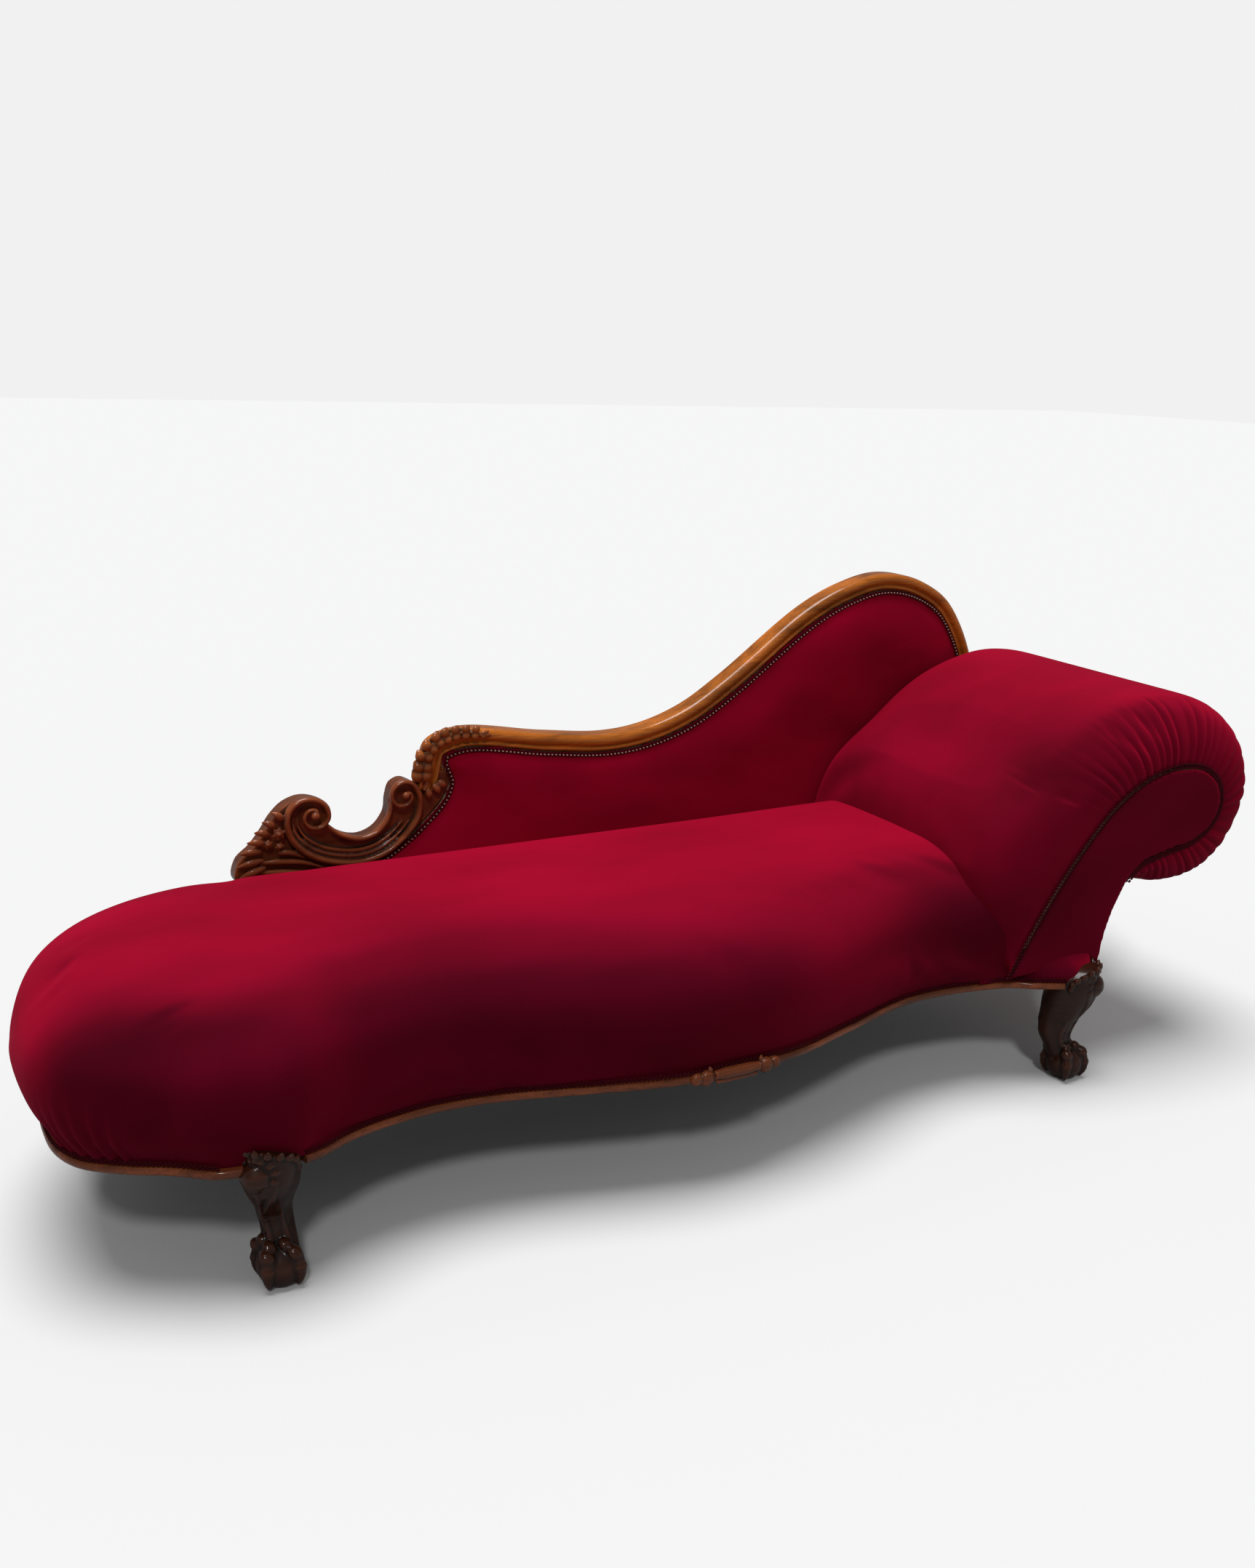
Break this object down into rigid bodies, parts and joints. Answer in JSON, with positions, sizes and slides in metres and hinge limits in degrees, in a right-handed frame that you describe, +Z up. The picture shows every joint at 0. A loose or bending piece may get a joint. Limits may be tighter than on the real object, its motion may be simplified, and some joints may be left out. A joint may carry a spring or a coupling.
{
  "type": "fainting couch",
  "caption": "Carved show-wood fainting couch with a serpentine sprung seat, a scrolled sloping back, a rolled head end and ball-and-claw front feet.",
  "frame": {"origin": "middle of the couch's own box, on the floor under its feet", "axes": "+Z up, +X towards the rolled head end, +Y towards the back; a sitter faces -Y"},
  "size_m": [2.1642, 0.7045, 0.83],
  "materials": {
    "velvet": "deep crimson cotton velvet with a short nap",
    "polished_walnut": "honey walnut, french polished to a gloss",
    "carved_walnut": "carved reddish-brown walnut, waxed",
    "dark_walnut": "dark walnut, polished",
    "frame_beech": "sawn beech",
    "gimp_braid": "dark wine woven braid",
    "jute_webbing": "woven jute",
    "spring_steel": "coppered spring wire",
    "hessian": "coarse woven hessian",
    "bottom_cloth": "black cotton"
  },
  "bodies": {
    "root": {"back_bottom_rail": "frame_beech", "back_gimp": "gimp_braid", "back_lining": "hessian", "back_pad": "velvet", "back_posts": "frame_beech", "back_scroll": "carved_walnut", "back_top_rail": "polished_walnut", "bottom_cloth": "bottom_cloth", "corner_blocks": "frame_beech", "foot_end_moulding": "carved_walnut", "foot_end_rail": "frame_beech", "front_leg_foot_end": "dark_walnut", "front_leg_head_end": "dark_walnut", "front_rail_moulding": "carved_walnut", "front_seat_rail": "frame_beech", "head_cushion": "velvet", "head_end_moulding": "carved_walnut", "head_end_rail": "frame_beech", "head_front_board": "frame_beech", "head_front_facing": "velvet", "head_front_gimp": "gimp_braid", "head_lining": "hessian", "head_rear_board": "frame_beech", "head_rear_facing": "velvet", "head_roll_bar": "frame_beech", "head_slats": "frame_beech", "outside_back_cover": "velvet", "outside_head_cover": "velvet", "rail_centre_carving": "carved_walnut", "rail_tenons": "frame_beech", "rear_leg_foot_end": "dark_walnut", "rear_leg_head_end": "dark_walnut", "rear_seat_rail": "frame_beech", "seat_bearers": "frame_beech", "seat_cushion": "velvet", "seat_gimp": "gimp_braid", "seat_springs": "spring_steel", "spring_hessian": "hessian", "webbing_crosswise": "jute_webbing", "webbing_lengthwise": "jute_webbing"}
  },
  "joints": []
}
